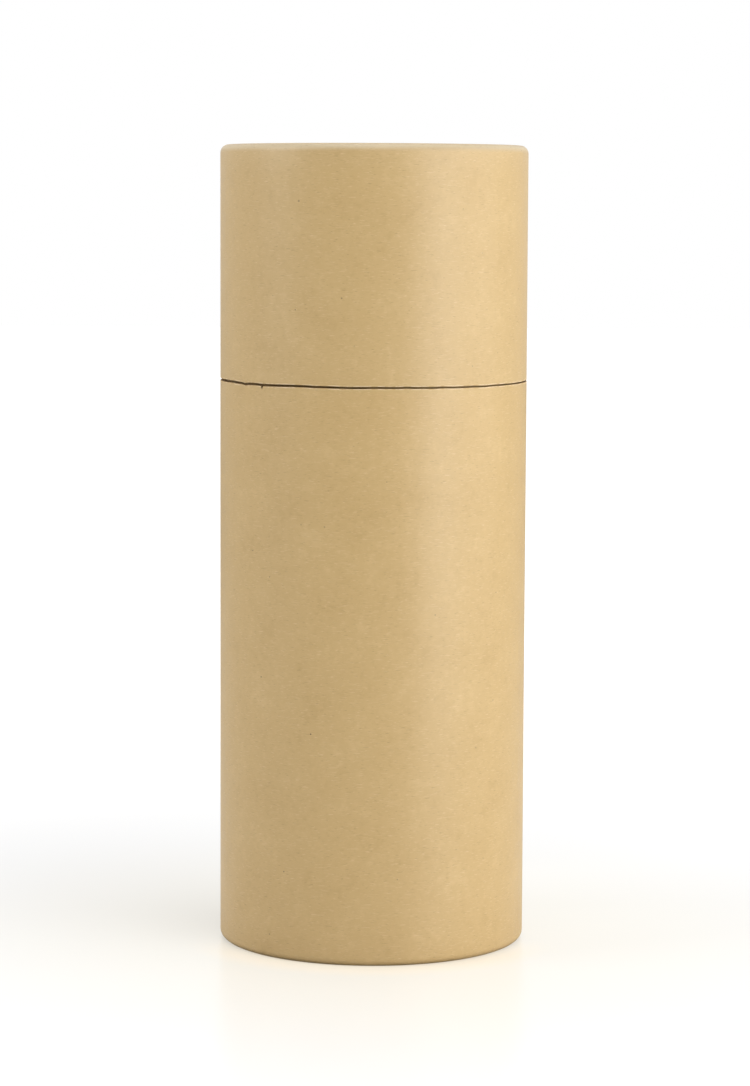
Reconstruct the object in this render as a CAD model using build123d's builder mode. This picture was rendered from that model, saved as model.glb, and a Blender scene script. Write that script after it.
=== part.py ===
from build123d import *
import os

# Round cardboard gift box, in millimetres: a wound tube that stands upright and a lid that lifts off
# The lid is cut from the same tube, and slides over a neck, so that both halves meet flush
# Origin: the middle of the base, with +Z up

# Wound tube of both halves
tube_bore = 73.0
tube_wall = 1.5

# Heights of the two halves, and the seam between their cut rims
body_height = 140.0
lid_height = 57.5
lid_gap = 0.35

# Closed ends: the wall is rolled inward and pressed flat, which leaves a round shoulder outside,
# a narrow land to stand on, a bevel down to the leg that is turned back in, and a crease inside;
# the leg is measured from the closed end
roll_slack = 0.5
roll_land = 0.8
roll_bevel = 1.4
roll_leg = 4.0

# Discs that close the ends, seated on the legs of the rolls
disc_thickness = 1.8
disc_fit = 0.1

# Neck: an inner tube that stands on the base disc and out of the body's mouth
neck_wall = 1.1
neck_fit = 0.15
neck_stand = 30.0

# Broken edges of the knife-cut rims
cut_break = 0.2

# Places worked out from the sizes above
bore_radius = tube_bore / 2
tube_radius = bore_radius + tube_wall
roll_radius = tube_wall + roll_slack
land_bore = tube_radius - roll_radius - roll_land
leg_bore = land_bore - roll_bevel
lid_rim = body_height + lid_gap
box_top = lid_rim + lid_height
neck_radius = bore_radius - neck_fit
neck_foot = roll_leg + disc_thickness
neck_mouth = body_height + neck_stand


def rolled_section(closed_end, cut_rim):
    """Half section of a tube that is rolled inward at its closed end and cut off square at its rim."""
    inward = 1 if cut_rim > closed_end else -1
    crease = closed_end + inward * tube_wall
    bevel_end = closed_end + inward * roll_bevel
    leg_cut = closed_end + inward * roll_leg
    with BuildSketch(Plane.XZ) as section:
        with BuildLine():
            FilletPolyline(
                (tube_radius, cut_rim),
                (tube_radius, closed_end),
                (land_bore, closed_end),
                radius=roll_radius,
            )
            Polyline(
                (land_bore, closed_end),
                (leg_bore, bevel_end),
                (leg_bore, leg_cut),
                (leg_bore + tube_wall, leg_cut),
                (leg_bore + tube_wall, crease),
                (bore_radius, crease),
                (bore_radius, cut_rim),
                (tube_radius, cut_rim),
            )
        make_face()
        rim_corners = section.vertices().group_by(Axis.Y)[-1 if inward > 0 else 0]
        chamfer(rim_corners, length=min(cut_break, tube_wall / 3))
    return section.sketch


# Body tube, open at its mouth and rolled inward at its foot
with BuildPart() as body_tube:
    revolve(rolled_section(closed_end=0, cut_rim=body_height), axis=Axis.Z)
body_tube.part.label = "body_tube"

# Base disc, dropped in from the mouth onto the leg of the roll
with BuildPart() as base_disc:
    with BuildSketch(Plane.XY.offset(roll_leg)):
        Circle(bore_radius - disc_fit)
    extrude(amount=disc_thickness)
base_disc.part.label = "base_disc"

# Neck tube, glued inside the body from the base disc up
with BuildPart() as neck_tube:
    with BuildSketch(Plane.XY.offset(neck_foot)):
        Circle(neck_radius)
        Circle(neck_radius - neck_wall, mode=Mode.SUBTRACT)
    extrude(amount=neck_mouth - neck_foot)
    mouth_edges = neck_tube.faces().sort_by(Axis.Z)[-1].edges()
    chamfer(mouth_edges, length=min(cut_break, neck_wall / 3))
neck_tube.part.label = "neck_tube"

# Lid tube, rolled inward at the top of the box
with BuildPart() as lid_tube:
    revolve(rolled_section(closed_end=box_top, cut_rim=lid_rim), axis=Axis.Z)
lid_tube.part.label = "lid_tube"

# Lid disc, pushed up inside the lid against the leg of the roll
with BuildPart() as lid_disc:
    with BuildSketch(Plane.XY.offset(box_top - roll_leg)):
        Circle(bore_radius - disc_fit)
    extrude(amount=-disc_thickness)
lid_disc.part.label = "lid_disc"

# One file for each piece
os.makedirs("parts", exist_ok=True)
for piece in (body_tube, base_disc, neck_tube, lid_tube, lid_disc):
    export_step(piece.part, f"parts/{piece.part.label}.step")
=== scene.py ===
"""Looks of the round cardboard gift box: wound kraft tubes with rolled and cut rims, and their discs.
The box stands in a pale studio, and the camera has the photograph's place."""
import math
import bmesh
import bpy
import numpy as np
from mathutils import Matrix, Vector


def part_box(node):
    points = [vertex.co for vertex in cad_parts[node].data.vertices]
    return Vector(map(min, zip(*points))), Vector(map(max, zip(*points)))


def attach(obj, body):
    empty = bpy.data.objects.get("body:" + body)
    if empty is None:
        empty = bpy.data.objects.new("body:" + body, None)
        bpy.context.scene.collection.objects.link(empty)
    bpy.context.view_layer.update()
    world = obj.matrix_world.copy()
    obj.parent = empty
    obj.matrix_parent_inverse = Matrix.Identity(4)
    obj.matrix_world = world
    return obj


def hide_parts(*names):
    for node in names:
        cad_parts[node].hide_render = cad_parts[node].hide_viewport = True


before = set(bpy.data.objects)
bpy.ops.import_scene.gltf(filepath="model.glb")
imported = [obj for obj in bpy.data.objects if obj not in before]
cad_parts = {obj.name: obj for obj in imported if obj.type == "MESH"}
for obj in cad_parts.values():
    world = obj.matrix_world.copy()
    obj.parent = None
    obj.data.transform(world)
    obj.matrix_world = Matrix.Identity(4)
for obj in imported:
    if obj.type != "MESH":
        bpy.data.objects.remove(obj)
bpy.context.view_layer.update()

MM = 0.001
TURN = 2 * math.pi

# Section of the tubes, as the solids have it, with the roundings that they leave out
TUBE_WALL = 1.5 * MM
NECK_WALL = 1.1 * MM
ROLL_RADIUS = 2.0 * MM
ROLL_LAND = 0.8 * MM
ROLL_BEVEL = 1.4 * MM
ROLL_LEG = 4.0 * MM
CUT_ROUND = 0.12 * MM
WORN_EDGE = 0.30 * MM
CREASE_ROUND = 0.2 * MM
BEVEL_ROUND = 1.0 * MM
DISC_ROUND = 0.25 * MM

# How finely the pieces are turned: columns round the axis, steps along the long runs, and steps round a bend
TUBE_COLUMNS = 945
NECK_COLUMNS = 960
DISC_COLUMNS = 360
FACE_STEP = 6.0 * MM
BORE_STEP = 12.0 * MM
NECK_STEP = 5.0 * MM
DISC_STEP = 3.0 * MM
BEND_STEP = math.radians(15)
SHARP_EDGE = math.radians(50)

# Plies of the board, and how deep the knife leaves the glue lines between them
PLY = 0.3 * MM
PLY_GROOVE = 0.03 * MM

# Lap of the outer paper, at the back of each tube
LAP_TURN = math.radians(97)
LAP_STEP = 0.11 * MM
LAP_WIDTH = 9.0 * MM
LAP_EASE = 5.0 * MM
LAP_EDGE = 0.03 * MM
NECK_LAP = 0.6

# Path of the hand-held knife that parted the lid from the body: the rise in millimetres by the turn past
# the lap in degrees. It met its own start left of the front, with a jog
KNIFE_PATH = [
    (0, 0.0), (85, 0.0), (101, 0.04), (110, 0.07), (113, -0.03), (116, -0.06), (118.4, -0.26), (120, -0.12),
    (123, -0.04), (126, -0.06), (128, -0.15), (137, -0.07), (143, 0.0), (148, -0.01), (152, -0.10),
    (155, -0.07), (164, -0.16), (174, -0.07), (183, -0.09), (185, -0.02), (187, -0.09), (196, -0.11),
    (199, -0.07), (203, -0.14), (213, -0.08), (218, -0.14), (223, -0.04), (228, -0.08), (231, 0.0),
    (240, -0.02), (250, 0.02), (360, 0.0),
]
KNIFE_FADE = 6.0 * MM

# Unevenness of each rim by itself, in waves round the tube
RIM_WANDER = 0.03 * MM
RIM_WAVES = 45
NECK_WANDER = 0.06 * MM
NECK_WAVES = 7

# Nick that the knife left in the body's rim, just after its start
NICK_TURN = math.radians(128.1)
NICK_REACH = math.radians(0.55)
NICK_DEPTH = 0.80 * MM
NICK_FADE = 1.0 * MM

# Both cut rims are worn back, and the lid sits a little lower on the right of the picture
RIM_WORN = 0.085 * MM
LID_LOW_TURN = math.radians(250)
LID_LOW = 0.24 * MM

# Unevenness of hand-wound tubes: its height, its waves round the tube and per metre along it, and the way
# over which it grows from the closed end
WAVE = 0.04 * MM
WAVE_AROUND = 5
WAVE_ALONG = 9.0
WAVE_FADE = 8.0 * MM
NECK_WAVE = 0.25
NECK_WAVE_AROUND = 3
NECK_WAVE_ALONG = 6.0
DISC_WARP = 0.05 * MM
DISC_WAVES = 3
DISC_WARP_REACH = 30.0 * MM

# Pleats where the wall is rolled inward: their number, how deep they are and how much of that is even, and
# how they wander. They start inside the shoulder, and grow over a short way
PLEATS = 150
PLEAT_DEPTH = 0.11 * MM
PLEAT_EVEN = 0.55
PLEAT_SIZES = 60
PLEAT_BEND = 5
PLEAT_BENDS = 17
PLEAT_START = 0.8 * MM
PLEAT_EASE = 2.6 * MM

# How close to a cut rim a point counts as on it, how flat a cut lies, how far past the leg the pleats still
# reach, and how far pleated paper may face outward
RIM_REACH = 0.01 * MM
FLAT_CUT = 0.9
LEG_REACH = 0.1 * MM
PLEAT_FACING = 0.2

# Camera, from the outline, the seam and the curve of the foot in the photograph
CAMERA_PLACE = (0.55 * MM, -854.0 * MM, 185.4 * MM)
CAMERA_PITCH = 5.764
CAMERA_ROLL = 0.251
CAMERA_LENS = 114.0
SENSOR = 36.0

# Linear colours of the board
KRAFT = (0.600, 0.417, 0.186)
KRAFT_PALE = (0.640, 0.452, 0.210)
KRAFT_DEEP = (0.560, 0.382, 0.164)
FIBRE_PALE = (0.760, 0.580, 0.330)
FIBRE_DARK = (0.330, 0.200, 0.080)
SPECK = (0.110, 0.060, 0.025)
# Painted highlight: the pale colour laid on where the paper bends over the top
TOP_HIGHLIGHT = (0.660, 0.590, 0.450)
# Pale colour of knife-worn paper at the cut rims, also a painted highlight along the seam
WORN_AND_HIGHLIT = (0.800, 0.640, 0.400)
CORE = (0.400, 0.260, 0.115)
CORE_LINE = (0.200, 0.120, 0.050)

# Fibres of the paper: their angle on it in degrees, their length and width in millimetres, and the threshold
# that leaves the fewer of them the higher it is. How strongly each kind shows comes after
PALE_FIBRES = (18.0, 1.6, 0.22, 0.62)
DARK_FIBRES = (-24.0, 1.5, 0.20, 0.64)
LONG_FIBRES = (82.0, 3.2, 0.24, 0.64)
PALE_SHARE = 0.42
DARK_SHARE = 0.40
LONG_SHARE = 0.28
FIBRE_EDGE = 0.09

# Specks of the paper: cells per millimetre, the share of cells that has one, and their size in millimetres
LARGE_SPECKS = (0.14, 0.30, 0.30)
SMALL_SPECKS = (0.33, 0.35, 0.24)
SMALL_SPECK_SHARE = 0.6

# Relief of the paper in millimetres: its tooth, its cockle and the fibres that stand out
TOOTH = 0.008
COCKLE = 0.045
FIBRE_RISE = 0.004

# Painted shade: a dark line along the edge of the lap, for the shadow of its step, and how strong it is
LAP_SHADE_NEAR = 0.10 * MM
LAP_SHADE_FAR = 0.30 * MM
LAP_SHADE = 0.4

# Floor that the camera sees, by the distance from the middle of the box in metres: its own light rises to
# white away from the box, and its gloss fades out there
FLOOR_HALF = 4.0
LIGHT_NEAR = 0.10
LIGHT_FAR = 0.45
LIGHT_LOW = 0.71
FLOOR_SHADE = (0.36, 0.36, 0.36)
GLOSS_NEAR = 0.10
GLOSS_FAR = 0.40
GLOSS_MOST = 0.6
GLOSS_ROUGHNESS = 0.22
GLOSS_IOR = 1.45

# Soft shade on it, a fan behind the box and to its left
SHADE_SIDE = (-0.8, 0.6, 0.0)
SHADE_POWER = 5.0
SHADE_DEPTH = 0.0085
SHADE_CORE = 0.03

# Warm tinge that the box gives the floor, and a stronger one close to its front
BOUNCE = (1.0, 0.970, 0.880)
BOUNCE_NEAR = 0.04
BOUNCE_FAR = 0.16
FRONT_SIDE = (0.0, -1.0, 0.0)
FRONT_BOUNCE = (1.0, 0.895, 0.720)
FRONT_NEAR = 0.039
FRONT_FAR = 0.050
FRONT_START = 0.005
FRONT_FULL = 0.030
FRONT_LIGHT = 0.09

# Floor as the box is lit by it: pale, with painted shade where the foot touches it. Inside the ring of
# the foot it gives light, so that the underside isn't black from below
PALE_FLOOR = (0.80, 0.80, 0.79)
CONTACT_SHADE = (0.40, 0.40, 0.40)
CONTACT_SHADE_NEAR = 0.0375
CONTACT_SHADE_FAR = 0.0395
UNDER_REACH = 36.3 * MM
UNDER_LIGHT = 0.8

# Backdrop as light: its strength, and how far behind the box it starts and is full
BACKDROP = 0.76
BACKDROP_START = -0.15
BACKDROP_FULL = 0.35

# Lamps: name, azimuth and elevation in degrees, distance, width, height, power, and the height aimed at
LAMPS = [
    ("right_front_softbox", 50, 11, 1.0, 0.60, 0.80, 5.6, 0.1),
    ("right_side_softbox", 85, 13, 1.0, 0.50, 0.80, 3.0, 0.1),
    ("right_low_softbox", 50, 3, 0.6, 0.30, 0.10, 0.27, 0.02),
    ("left_softbox", -75, 29, 1.0, 0.50, 0.80, 4.6, 0.1),
    ("front_softbox", 0, 55, 1.0, 0.80, 0.60, 2.1, 0.1),
    ("top_softbox", 0, 90, 0.9, 0.60, 0.60, 1.9, 0.1),
]

# Finishes of a turned piece, by material index
FACE, CUT, EDGE, LINING = range(4)


def make_camera():
    data = bpy.data.cameras.new("camera")
    data.sensor_width = SENSOR
    data.lens = CAMERA_LENS
    data.clip_start = 0.01
    data.clip_end = 50.0
    camera = bpy.data.objects.new("camera", data)
    camera.location = CAMERA_PLACE
    pitch = Matrix.Rotation(math.radians(90 - CAMERA_PITCH), 3, "X")
    roll = Matrix.Rotation(math.radians(CAMERA_ROLL), 3, "Z")
    camera.rotation_euler = (pitch @ roll).to_euler()
    bpy.context.scene.collection.objects.link(camera)
    bpy.context.scene.camera = camera


class Nodes:
    """A short way to write a node tree: each call makes a node, and sets or links its inputs."""

    def __init__(self, tree):
        self.tree = tree
        tree.nodes.clear()

    def make(self, kind, options=None, *inputs, **named):
        made = self.tree.nodes.new(kind)
        for key, value in (options or {}).items():
            setattr(made, key, value)
        for index, value in enumerate(inputs):
            self.put(made.inputs[index], value)
        for key, value in named.items():
            self.put(made.inputs[key.replace("_", " ")], value)
        return made

    def put(self, socket, value):
        if isinstance(value, bpy.types.Node):
            value = value.outputs[0]
        if isinstance(value, bpy.types.NodeSocket):
            self.tree.links.new(value, socket)
        elif isinstance(value, tuple) and len(value) == 3 and socket.type == "RGBA":
            socket.default_value = (*value, 1.0)
        else:
            socket.default_value = value

    def math(self, operation, a, b=0.0):
        return self.make("ShaderNodeMath", {"operation": operation}, a, b)

    def scaled(self, a, b):
        return self.math("MULTIPLY", a, b)

    def total(self, *terms):
        summed = terms[0]
        for term in terms[1:]:
            summed = self.math("ADD", summed, term)
        return summed

    def vector(self, operation, output, *inputs):
        made = self.make("ShaderNodeVectorMath", {"operation": operation}, *inputs)
        return made.outputs[output]

    def place(self, kind):
        return self.make("ShaderNodeTexCoord").outputs[kind]

    def along(self, axis, vector):
        return self.make("ShaderNodeSeparateXYZ", Vector=vector).outputs[axis]

    def seen_by_camera(self):
        return self.make("ShaderNodeLightPath").outputs["Is Camera Ray"]

    def remap(self, value, low, high, to_low=0.0, to_high=1.0):
        return self.make("ShaderNodeMapRange", {"interpolation_type": "SMOOTHSTEP"},
                         value, low, high, to_low, to_high)

    def mix(self, factor, a, b):
        made = self.make("ShaderNodeMix", {"data_type": "RGBA"})
        self.put(made.inputs["Factor"], factor)
        self.put(made.inputs[6], a)
        self.put(made.inputs[7], b)
        return made.outputs[2]

    def noise(self, where, scale, detail=2.0, roughness=0.5, distortion=0.0):
        return self.make("ShaderNodeTexNoise", Vector=where, Scale=scale, Detail=detail,
                         Roughness=roughness, Distortion=distortion)

    def board(self, colour, roughness, relief):
        """Surface of a colour and a roughness, with a relief in millimetres."""
        bump = self.make("ShaderNodeBump", Height=relief, Distance=1.0 * MM)
        shader = self.make("ShaderNodeBsdfPrincipled", Normal=bump, Base_Color=colour, Roughness=roughness)
        self.make("ShaderNodeOutputMaterial", Surface=shader)


def new_material(name):
    material = bpy.data.materials.new(name)
    material.use_nodes = True
    return material, Nodes(material.node_tree)


def unrolled_place(nodes):
    """Place on the unrolled paper, in metres: along the arc from the lap, and along the outline."""
    return nodes.make("ShaderNodeUVMap", {"uv_map": "paper"})


def paper_place(nodes, shift):
    """Place on the unrolled paper in millimetres, shifted to a part of the pattern of its own."""
    return nodes.make("ShaderNodeMapping", Vector=unrolled_place(nodes), Scale=(1 / MM, 1 / MM, 1 / MM),
                      Location=(shift, 1.7 * shift, 0.0))


def fibres(nodes, where, turn, length, width, threshold):
    """Mask of thin stretched fibres that lie at one angle on the paper."""
    laid = nodes.make("ShaderNodeMapping", Vector=where, Scale=(1.0 / length, 1.0 / width, 1.0),
                      Rotation=(0.0, 0.0, math.radians(turn)))
    grain = nodes.noise(laid, 1.0, detail=1.0, distortion=0.35)
    return nodes.remap(grain, threshold, threshold + FIBRE_EDGE)


def specks(nodes, where, scale, share, widest):
    """Mask of small round specks of bark in the paper: a share of the cells has one."""
    cells = nodes.make("ShaderNodeTexVoronoi", Vector=where, Scale=scale, Randomness=1.0)
    picked = nodes.make("ShaderNodeSeparateColor", None, cells.outputs["Color"])
    size = nodes.remap(picked.outputs[0], 1.0 - share, 1.0, 0.0, widest * scale)
    reach = nodes.math("SUBTRACT", size, cells.outputs["Distance"])
    inside = nodes.remap(reach, 0.0, 0.15 * widest * scale)
    return nodes.scaled(inside, nodes.remap(picked.outputs[1], 0.0, 1.0, 0.25, 0.85))


def paint_top_highlight(nodes, colour, share):
    """Paints a pale highlight into a colour where the paper bends over the top, and less so on the flat."""
    upward = nodes.along("Z", nodes.place("Normal"))
    outside = nodes.remap(upward, -0.1, 0.75, 0.0, share)
    highlight_mask = nodes.scaled(outside, nodes.remap(upward, 0.75, 1.0, 1.0, 0.5))
    return nodes.mix(highlight_mask, colour, TOP_HIGHLIGHT)


def kraft_paper(name, shift, tint=1.0, roughness=0.39, highlight_share=0.0, lap_shade=False):
    """Smooth brown kraft paper: faint clouds, short pale and dark fibres, a few specks, and a soft gloss.
    Its top bend has a painted highlight of the share given, and its lap a painted shade line."""
    material, nodes = new_material(name)

    def toned(colour):
        return tuple(tint * c for c in colour)

    where = paper_place(nodes, shift)
    cloud = nodes.noise(where, 0.085, detail=4.0, roughness=0.55)
    mottle = nodes.noise(where, 0.45, detail=4.0, roughness=0.6)
    tone = nodes.total(nodes.scaled(cloud, 0.5), nodes.scaled(mottle, 0.5))
    colour = nodes.mix(nodes.remap(tone, 0.5, 0.68), toned(KRAFT), toned(KRAFT_PALE))
    colour = nodes.mix(nodes.remap(tone, 0.5, 0.32), colour, toned(KRAFT_DEEP))
    # Painted highlight where the paper bends over the top
    if highlight_share:
        colour = paint_top_highlight(nodes, colour, highlight_share)
    pale_hair = fibres(nodes, where, *PALE_FIBRES)
    dark_hair = fibres(nodes, where, *DARK_FIBRES)
    long_hair = fibres(nodes, where, *LONG_FIBRES)
    colour = nodes.mix(nodes.scaled(pale_hair, PALE_SHARE), colour, toned(FIBRE_PALE))
    colour = nodes.mix(nodes.scaled(dark_hair, DARK_SHARE), colour, toned(FIBRE_DARK))
    colour = nodes.mix(nodes.scaled(long_hair, LONG_SHARE), colour, toned(FIBRE_PALE))
    colour = nodes.mix(specks(nodes, where, *LARGE_SPECKS), colour, SPECK)
    small = specks(nodes, where, *SMALL_SPECKS)
    colour = nodes.mix(nodes.scaled(small, SMALL_SPECK_SHARE), colour, SPECK)
    # Painted shade: a dark line along the lap's edge
    if lap_shade:
        from_lap = nodes.along("X", unrolled_place(nodes))
        line = nodes.remap(from_lap, LAP_SHADE_FAR, LAP_SHADE_NEAR, 0.0, LAP_SHADE)
        colour = nodes.mix(line, colour, FIBRE_DARK)
    tooth = nodes.noise(where, 3.2, detail=4.0, roughness=0.65)
    cockle = nodes.noise(where, 0.14, detail=2.0)
    relief = nodes.total(nodes.scaled(tooth, TOOTH), nodes.scaled(cockle, COCKLE),
                         nodes.scaled(pale_hair, FIBRE_RISE))
    sheen = nodes.remap(mottle, 0.2, 0.8, roughness - 0.05, roughness + 0.07)
    nodes.board(colour, sheen, relief)
    return material


def cut_board(name):
    """Knife-cut edge of wound board: a pale core with the lines between its plies, dry and fibrous."""
    material, nodes = new_material(name)
    flat = nodes.vector("MULTIPLY", "Vector", nodes.place("Object"), (1 / MM, 1 / MM, 0.0))
    radius = nodes.vector("LENGTH", "Value", flat)
    wander = nodes.scaled(nodes.math("SUBTRACT", nodes.noise(flat, 1.4, detail=3.0), 0.5), 0.10)
    across = nodes.scaled(nodes.total(radius, wander), MM / PLY)
    line = nodes.remap(nodes.math("PINGPONG", across, 0.5), 0.13, 0.02)
    colour = nodes.mix(nodes.scaled(line, 0.7), CORE, CORE_LINE)
    grain = nodes.noise(flat, 4.0, detail=4.0, roughness=0.7)
    colour = nodes.mix(nodes.remap(grain, 0.55, 0.75, 0.0, 0.35), colour, FIBRE_PALE)
    nodes.board(colour, 0.9, nodes.scaled(grain, 0.05))
    return material


def worn_and_highlit_paper(name):
    """Cut rim's paper, roughened by the knife, with pale bared patches that are also painted highlight."""
    material, nodes = new_material(name)
    where = paper_place(nodes, 53.0)
    patches = nodes.noise(where, 0.45, detail=3.0, roughness=0.6)
    fray = nodes.noise(where, 5.0, detail=3.0, roughness=0.7)
    # Pale patches: knife wear, and also painted highlight along the seam
    colour = nodes.mix(nodes.remap(patches, 0.36, 0.60), KRAFT, WORN_AND_HIGHLIT)
    nodes.board(colour, 0.75, nodes.scaled(fray, 0.04))
    return material


def smooth(x):
    """Eases from 0 to 1 as x goes from 0 to 1."""
    x = np.clip(x, 0.0, 1.0)
    return x * x * (3 - 2 * x)


def unit(vector):
    return vector / np.linalg.norm(vector)


def rounded_corner(before, here, after, rounding):
    """Points of the arc that rounds the corner at here, from the run before it to the run after it."""
    back = unit(before - here)
    on = unit(after - here)
    half = math.acos(np.clip(back @ on, -1, 1)) / 2
    centre = here + unit(back + on) * rounding / math.sin(half)
    spoke = here + back * rounding / math.tan(half) - centre
    sweep = math.copysign(math.pi - 2 * half, back[1] * on[0] - back[0] * on[1])
    turns = np.linspace(0, sweep, max(2, round(abs(sweep) / BEND_STEP)) + 1)
    return [centre + (spoke[0] * math.cos(t) - spoke[1] * math.sin(t),
                      spoke[0] * math.sin(t) + spoke[1] * math.cos(t)) for t in turns]


def rounded_outline(corners, closed=True):
    """Outline of (radius, height) points. Each corner gives its place, its rounding, and the step and finish
    of the run after it. Returns the points, and the finish of the stretch after each point."""
    places = [np.array(corner[:2]) for corner in corners]
    arcs = []
    for i, (here, corner) in enumerate(zip(places, corners)):
        after = places[(i + 1) % len(places)]
        arcs.append(rounded_corner(places[i - 1], here, after, corner[2]) if corner[2] else [here])
    points, finishes = [], []
    for i, (arc, corner) in enumerate(zip(arcs, corners)):
        points += arc
        finishes += [corners[i - 1][4]] * (len(arc) - 1) + [corner[4]]
        if not closed and i == len(corners) - 1:
            break
        run = arcs[(i + 1) % len(arcs)][0] - arc[-1]
        steps = max(1, round(np.linalg.norm(run) / corner[3]))
        points += [arc[-1] + run * k / steps for k in range(1, steps)]
        finishes += [corner[4]] * (steps - 1)
    return np.array(points), np.array(finishes)


def ripple(seed, waves_around, waves_along):
    """Seeded unevenness of unit size, as a function of the turn and the height."""
    rng = np.random.default_rng(seed)
    around = rng.integers(1, waves_around + 1, 8)
    along = rng.uniform(-waves_along, waves_along, 8) * TURN
    phase = rng.uniform(0, TURN, 8)
    share = rng.uniform(0.5, 1.0, 8)

    def height(turn, level):
        waves = [s * np.cos(m * turn + k * level + p) for m, k, p, s in zip(around, along, phase, share)]
        return sum(waves) / share.sum()
    return height


def knife_rise(turn):
    """Height of the knife's path round the tube."""
    turns, rises = zip(*KNIFE_PATH)
    return MM * np.interp(np.degrees(turn), turns, rises)


def lap_rise(turn, radius):
    """The outer paper's lap: a step up at its edge, which eases out where the paper below runs out."""
    return LAP_STEP * (1 - smooth((turn * radius - LAP_WIDTH) / LAP_EASE))


def ply_groove(radius, bore):
    """Depth of the glue lines in a cut rim."""
    return PLY_GROOVE * (0.5 + 0.5 * np.cos(TURN * (radius - bore) / PLY))


def rolled_tube_shape(tube_radius, closed_end, cut_rim, seed, rim_drop, nick_depth):
    """Moves the points of a rolled tube: wound unevenly, lapped, cut by hand, and pleated at the roll."""
    inward = 1 if cut_rim > closed_end else -1
    wave = ripple(seed, WAVE_AROUND, WAVE_ALONG)
    pleat_size = ripple(seed + 1, PLEAT_SIZES, 0.0)
    bend = ripple(seed + 2, PLEAT_BENDS, 0.0)
    rim_wave = ripple(seed + 3, RIM_WAVES, 0.0)

    def pleats(radius, out_r, turn, from_end):
        turned_in = smooth((tube_radius - PLEAT_START - radius) / PLEAT_EASE)
        turned_in = turned_in * (from_end < ROLL_LEG + LEG_REACH)
        fold = np.sin(PLEATS * turn + PLEAT_BEND * bend(turn, 0.0))
        size = PLEAT_EVEN + (1 - PLEAT_EVEN) * pleat_size(turn, 0.0)
        depth = PLEAT_DEPTH * (0.5 - 0.5 * fold) * size * turned_in
        return depth * (out_r < PLEAT_FACING) * (radius < tube_radius - ROLL_RADIUS)

    def rim_rise(turn, from_rim):
        low_side = rim_drop * (0.5 + 0.5 * np.cos(turn - LID_LOW_TURN))
        path = knife_rise(turn) - inward * RIM_WORN - low_side
        path = (path + RIM_WANDER * rim_wave(turn, 0.0)) * (1 - smooth(from_rim / KNIFE_FADE))
        nick = nick_depth * (1 - smooth(np.abs(turn - NICK_TURN) / NICK_REACH))
        return path - nick * (1 - smooth(from_rim / NICK_FADE))

    def shape(radius, height, out_r, out_z, turn):
        from_end = (height - closed_end) * inward
        from_rim = (cut_rim - height) * inward
        outside = (radius > tube_radius - ROLL_RADIUS) & (out_r > 0)
        on_cut = (from_rim < RIM_REACH) & (np.abs(out_z) > FLAT_CUT)
        sideways = WAVE * smooth(from_end / WAVE_FADE) * wave(turn, height)
        sideways = sideways + lap_rise(turn, tube_radius) * outside * out_r
        grooved = ply_groove(radius, tube_radius - TUBE_WALL) * on_cut
        sunk = pleats(radius, out_r, turn, from_end) + grooved
        return radius + sideways - sunk * out_r, height + rim_rise(turn, from_rim) - sunk * out_z
    return shape


def neck_shape(neck_radius, mouth, seed):
    """Moves the points of the neck: an even tube with its own lap, under the lid's bore, and two cut rims."""
    wave = ripple(seed, NECK_WAVE_AROUND, NECK_WAVE_ALONG)
    knife = ripple(seed + 1, NECK_WAVES, 0.0)

    def shape(radius, height, out_r, out_z, turn):
        outside = (radius > neck_radius - 0.5 * NECK_WALL) & (out_r > 0)
        on_cut = np.abs(out_z) > FLAT_CUT
        sideways = NECK_WAVE * WAVE * wave(turn, height)
        sideways = sideways + NECK_LAP * lap_rise(turn, neck_radius) * outside * out_r
        upward = NECK_WANDER * knife(turn, 0.0) * smooth((height - mouth + KNIFE_FADE) / KNIFE_FADE)
        sunk = ply_groove(radius, neck_radius - NECK_WALL) * on_cut
        return radius + sideways, height + upward - sunk * out_z
    return shape


def disc_shape(seed):
    """Moves the points of a disc: punched board that has warped by a hair."""
    warp = ripple(seed, DISC_WAVES, 0.0)

    def shape(radius, height, out_r, out_z, turn):
        upward = DISC_WARP * warp(turn, 0.0) * smooth(radius / DISC_WARP_REACH)
        return radius + np.zeros_like(upward), height + upward
    return shape


def outward_directions(outline):
    """Unit direction out of the piece at each point of its outline, and whether that runs clockwise."""
    following = np.roll(outline, -1, 0)
    area = np.sum(outline[:, 0] * following[:, 1] - following[:, 0] * outline[:, 1])
    along = following - np.roll(outline, 1, 0)
    out = math.copysign(1, area) * np.stack([along[:, 1], -along[:, 0]], 1)
    out /= np.linalg.norm(out, axis=1)[:, None]
    return out, area < 0


def unrolled_corners(outline, turn, row, column):
    """Places of the quads' corners on the unrolled paper, in metres along the arc and along the outline."""
    path = np.cumsum(np.linalg.norm(np.roll(outline, -1, 0) - outline, axis=1))
    path = np.concatenate([[0], path])
    arc = np.append(turn, TURN) * outline[:, 0].max()
    corners = (row, column), (row, column + 1), (row + 1, column + 1), (row + 1, column)
    return np.stack([np.stack([arc[c], path[r]], 1) for r, c in corners], 1)


def weld_close_points(mesh):
    """Joins the points that lie on the axis."""
    weld = bmesh.new()
    weld.from_mesh(mesh)
    bmesh.ops.remove_doubles(weld, verts=weld.verts, dist=0.001 * MM)
    weld.to_mesh(mesh)
    weld.free()


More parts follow.
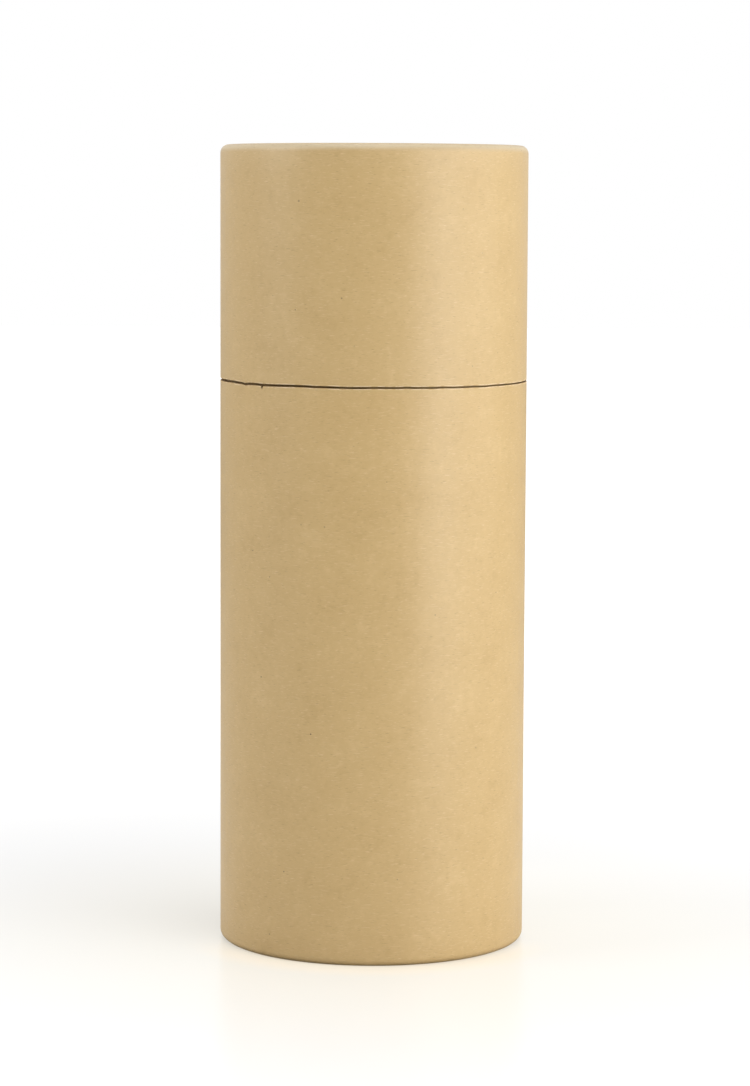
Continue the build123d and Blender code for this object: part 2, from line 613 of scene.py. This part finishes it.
def turned_piece(name, outline, finishes, shape, columns, materials, body, node, slot, flat=False):
    """Turns an outline about Z, from the lap round to the lap. shape gets each point's radius and height, the
    outward direction there and the turn past the lap, and returns its new radius and height. An outline that
    starts on the axis is open, and the paper of a flat piece isn't unrolled."""
    closed = outline[0][0] > 0
    rows = len(outline) if closed else len(outline) - 1
    out, clockwise = outward_directions(outline)
    turn = np.linspace(0, TURN, columns, endpoint=False)
    turn[-1] = TURN - LAP_EDGE / outline[:, 0].max()
    radius, height = shape(*(part[:, None] for part in (*outline.T, *out.T)), turn[None, :])
    angle = LAP_TURN + turn
    height = height + np.zeros_like(radius)
    places = np.stack([radius * np.cos(angle), radius * np.sin(angle), height], 2).reshape(-1, 3)

    row, column = (grid.ravel() for grid in np.meshgrid(np.arange(rows), np.arange(columns), indexing="ij"))
    row_on, column_on = (row + 1) % len(outline), (column + 1) % columns
    quads = np.stack([row * columns + column, row * columns + column_on,
                      row_on * columns + column_on, row_on * columns + column], 1)
    paper = places[quads][:, :, :2] if flat else unrolled_corners(outline, turn, row, column)
    if clockwise:
        quads, paper = quads[:, ::-1], paper[:, ::-1]

    mesh = bpy.data.meshes.new(name)
    mesh.from_pydata(places.tolist(), [], quads.tolist())
    mesh.uv_layers.new(name="paper").data.foreach_set("uv", paper.astype(np.float32).ravel())
    mesh.polygons.foreach_set("material_index", finishes[row].astype(np.int32))
    mesh.polygons.foreach_set("use_smooth", np.ones(len(quads), bool))
    for material in materials:
        mesh.materials.append(material)
    if not closed:
        weld_close_points(mesh)
    mesh.update()
    mesh.set_sharp_from_angle(angle=SHARP_EDGE)
    piece = bpy.data.objects.new(name, mesh)
    bpy.context.scene.collection.objects.link(piece)
    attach(piece, body)
    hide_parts(node)


def rolled_tube(name, node, closed_end, cut_rim, seed, rim_drop=0.0, nick_depth=0.0, **facts):
    """Tube rolled inward at its closed end. Its outline goes over the cut rim, along the face to the roll,
    and back inside. Each corner has its rounding, then the step and the finish of the run after it."""
    inward = 1 if cut_rim > closed_end else -1
    tube_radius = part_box(node)[1].x
    bore = tube_radius - TUBE_WALL
    land_bore = tube_radius - ROLL_RADIUS - ROLL_LAND
    leg_bore = land_bore - ROLL_BEVEL
    leg_back = leg_bore + TUBE_WALL
    crease = closed_end + inward * TUBE_WALL
    leg_cut = closed_end + inward * ROLL_LEG
    outline, finishes = rounded_outline([
        (bore, cut_rim, CUT_ROUND, PLY / 2, CUT),
        (tube_radius, cut_rim, CUT_ROUND, WORN_EDGE, EDGE),
        (tube_radius, cut_rim - inward * WORN_EDGE, 0.0, FACE_STEP, FACE),
        (tube_radius, closed_end, ROLL_RADIUS, 0.4 * MM, FACE),
        (land_bore, closed_end, BEVEL_ROUND, 0.5 * MM, FACE),
        (leg_bore, closed_end + inward * ROLL_BEVEL, BEVEL_ROUND, 0.6 * MM, FACE),
        (leg_bore, leg_cut, CREASE_ROUND, 0.5 * MM, CUT),
        (leg_back, leg_cut, CREASE_ROUND, 1.0 * MM, LINING),
        (leg_back, crease, CREASE_ROUND, 1.0 * MM, LINING),
        (bore, crease, CREASE_ROUND, BORE_STEP, LINING),
    ])
    shape = rolled_tube_shape(tube_radius, closed_end, cut_rim, seed, rim_drop, nick_depth)
    turned_piece(name, outline, finishes, shape, TUBE_COLUMNS, node=node, **facts)


def neck(name, node, seed, **facts):
    """Plain inner tube with two cut rims."""
    low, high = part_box(node)
    bore = high.x - NECK_WALL
    outline, finishes = rounded_outline([
        (bore, high.z, CUT_ROUND, PLY / 2, CUT),
        (high.x, high.z, CUT_ROUND, NECK_STEP, FACE),
        (high.x, low.z, CUT_ROUND, PLY / 2, CUT),
        (bore, low.z, CUT_ROUND, NECK_STEP, LINING),
    ])
    turned_piece(name, outline, finishes, neck_shape(high.x, high.z, seed), NECK_COLUMNS, node=node, **facts)


def disc(name, node, seed, **facts):
    """Round punched board."""
    low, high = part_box(node)
    outline, finishes = rounded_outline([
        (0.0, low.z, 0.0, DISC_STEP, FACE),
        (high.x, low.z, DISC_ROUND, PLY, CUT),
        (high.x, high.z, DISC_ROUND, DISC_STEP, FACE),
        (0.0, high.z, 0.0, DISC_STEP, FACE),
    ], closed=False)
    turned_piece(name, outline, finishes, disc_shape(seed), DISC_COLUMNS, node=node, flat=True, **facts)


def floor_glow(nodes, place, away):
    """The floor's own light: white far off, lower near the box, shaded in a fan and tinged by the box."""
    toward = nodes.vector("DOT_PRODUCT", "Value", place, SHADE_SIDE)
    far = nodes.math("MAXIMUM", away, SHADE_CORE)
    facing = nodes.math("DIVIDE", toward, far)
    fan = nodes.math("POWER", nodes.total(nodes.scaled(facing, 0.5), 0.5), SHADE_POWER)
    deep = nodes.math("DIVIDE", nodes.scaled(fan, SHADE_DEPTH), far)
    ahead = nodes.vector("DOT_PRODUCT", "Value", place, FRONT_SIDE)
    in_front = nodes.remap(ahead, FRONT_START, FRONT_FULL)
    close = nodes.scaled(nodes.remap(away, FRONT_FAR, FRONT_NEAR), in_front)
    level = nodes.remap(away, LIGHT_NEAR, LIGHT_FAR, LIGHT_LOW, 1.0)
    level = nodes.total(level, nodes.scaled(close, FRONT_LIGHT))
    level = nodes.math("SUBTRACT", level, deep)
    tinge = nodes.mix(nodes.remap(away, BOUNCE_FAR, BOUNCE_NEAR), (1.0, 1.0, 1.0), BOUNCE)
    tinge = nodes.mix(close, tinge, FRONT_BOUNCE)
    return nodes.make("ShaderNodeEmission", Color=tinge, Strength=level)


def floor_seen(nodes, place, away):
    """Floor that the camera sees: just white, with the box's soft shadow and a weak reflection."""
    shade = nodes.make("ShaderNodeBsdfDiffuse", Color=FLOOR_SHADE)
    pale = nodes.make("ShaderNodeAddShader", None, floor_glow(nodes, place, away), shade)
    gloss = nodes.make("ShaderNodeBsdfGlossy", Color=(1.0, 1.0, 1.0), Roughness=GLOSS_ROUGHNESS)
    fresnel = nodes.make("ShaderNodeFresnel", IOR=GLOSS_IOR)
    near = nodes.remap(away, GLOSS_NEAR, GLOSS_FAR, GLOSS_MOST, 0.0)
    return nodes.make("ShaderNodeMixShader", None, nodes.scaled(fresnel, near), pale, gloss)


def floor_as_light(nodes, away):
    """Floor that the box is lit by: a pale one, with its own light inside the ring of the foot."""
    # Painted shade: the floor is darker where the foot touches it
    contact_shaded = nodes.mix(nodes.remap(away, CONTACT_SHADE_NEAR, CONTACT_SHADE_FAR), CONTACT_SHADE, PALE_FLOOR)
    plain = nodes.make("ShaderNodeBsdfDiffuse", Color=contact_shaded)
    lit = nodes.make("ShaderNodeEmission", Color=(1.0, 1.0, 1.0), Strength=UNDER_LIGHT)
    beneath = nodes.math("LESS_THAN", away, UNDER_REACH)
    return nodes.make("ShaderNodeMixShader", None, beneath, plain, lit)


def make_floor():
    """Plain pale floor, which is clear from below."""
    mesh = bpy.data.meshes.new("floor")
    corners = [(-FLOOR_HALF, -FLOOR_HALF, 0), (FLOOR_HALF, -FLOOR_HALF, 0),
               (FLOOR_HALF, FLOOR_HALF, 0), (-FLOOR_HALF, FLOOR_HALF, 0)]
    mesh.from_pydata(corners, [], [(0, 1, 2, 3)])
    floor = bpy.data.objects.new("floor", mesh)
    bpy.context.scene.collection.objects.link(floor)
    material, nodes = new_material("floor")
    place = nodes.place("Object")
    away = nodes.vector("LENGTH", "Value", place)
    both = nodes.make("ShaderNodeMixShader", None, nodes.seen_by_camera(), floor_as_light(nodes, away),
                      floor_seen(nodes, place, away))
    clear = nodes.make("ShaderNodeBsdfTransparent")
    under = nodes.make("ShaderNodeNewGeometry").outputs["Backfacing"]
    sided = nodes.make("ShaderNodeMixShader", None, under, both, clear)
    nodes.make("ShaderNodeOutputMaterial", Surface=sided)
    mesh.materials.append(material)


def make_world():
    """White for the camera. As light, a pale backdrop behind the box and a dim room on the camera's side."""
    world = bpy.data.worlds.new("studio")
    bpy.context.scene.world = world
    world.use_nodes = True
    nodes = Nodes(world.node_tree)
    behind = nodes.along("Y", nodes.place("Generated"))
    light = nodes.remap(behind, BACKDROP_START, BACKDROP_FULL, 0.0, BACKDROP)
    strength = nodes.math("MAXIMUM", light, nodes.seen_by_camera())
    back = nodes.make("ShaderNodeBackground", Color=(1.0, 1.0, 1.0), Strength=strength)
    nodes.make("ShaderNodeOutputWorld", Surface=back)


def softbox(name, azimuth, elevation, distance, width, height, power, aim):
    """Area lamp turned to the box. Azimuth 0 is the camera's side, and 90 is to the right of the picture."""
    data = bpy.data.lights.new(name, "AREA")
    data.shape = "RECTANGLE"
    data.size = width
    data.size_y = height
    data.energy = power
    lamp = bpy.data.objects.new(name, data)
    around = Matrix.Rotation(math.radians(azimuth), 3, "Z")
    turned = around @ Matrix.Rotation(math.radians(90 - elevation), 3, "X")
    lamp.rotation_euler = turned.to_euler()
    lamp.location = turned.col[2] * distance
    lamp.location.z += aim
    lamp.visible_camera = False
    bpy.context.scene.collection.objects.link(lamp)


make_camera()
make_world()
make_floor()
for lamp_facts in LAMPS:
    softbox(*lamp_facts)

cut_edge = cut_board("cut_board")
worn_and_highlit_edge = worn_and_highlit_paper("worn_and_highlit_edge")
lining = kraft_paper("kraft_lining", 87.0, tint=0.97, roughness=0.65)
# The body, lid and neck faces have painted shade along their laps
body_face = kraft_paper("kraft_body_face", 0.0, lap_shade=True)
# The lid's face has a painted highlight on its top bend
lid_face = kraft_paper("kraft_lid_face", 311.0, highlight_share=0.55, lap_shade=True)
neck_face = kraft_paper("kraft_neck_face", 171.0, tint=0.96, roughness=0.6, lap_shade=True)
disc_face = kraft_paper("kraft_disc_face", 233.0, tint=0.96, roughness=0.6)
body_finish = (body_face, cut_edge, worn_and_highlit_edge, lining)
lid_finish = (lid_face, cut_edge, worn_and_highlit_edge, lining)
neck_finish = (neck_face, cut_edge, worn_and_highlit_edge, lining)
disc_finish = (disc_face, cut_edge)

body_low, body_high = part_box("body_tube")
lid_low, lid_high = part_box("lid_tube")
rolled_tube("body_tube_dressed", "body_tube", body_low.z, body_high.z, seed=11, nick_depth=NICK_DEPTH,
            materials=body_finish, body="body", slot="body_board")
rolled_tube("lid_tube_dressed", "lid_tube", lid_high.z, lid_low.z, seed=23, rim_drop=LID_LOW,
            materials=lid_finish, body="lid", slot="lid_board")
neck("neck_tube_dressed", "neck_tube", seed=31, materials=neck_finish, body="body", slot="neck_board")
disc("base_disc_dressed", "base_disc", seed=41, materials=disc_finish, body="body", slot="disc_board")
disc("lid_disc_dressed", "lid_disc", seed=42, materials=disc_finish, body="lid", slot="disc_board")

bpy.context.scene.view_settings.view_transform = "Standard"
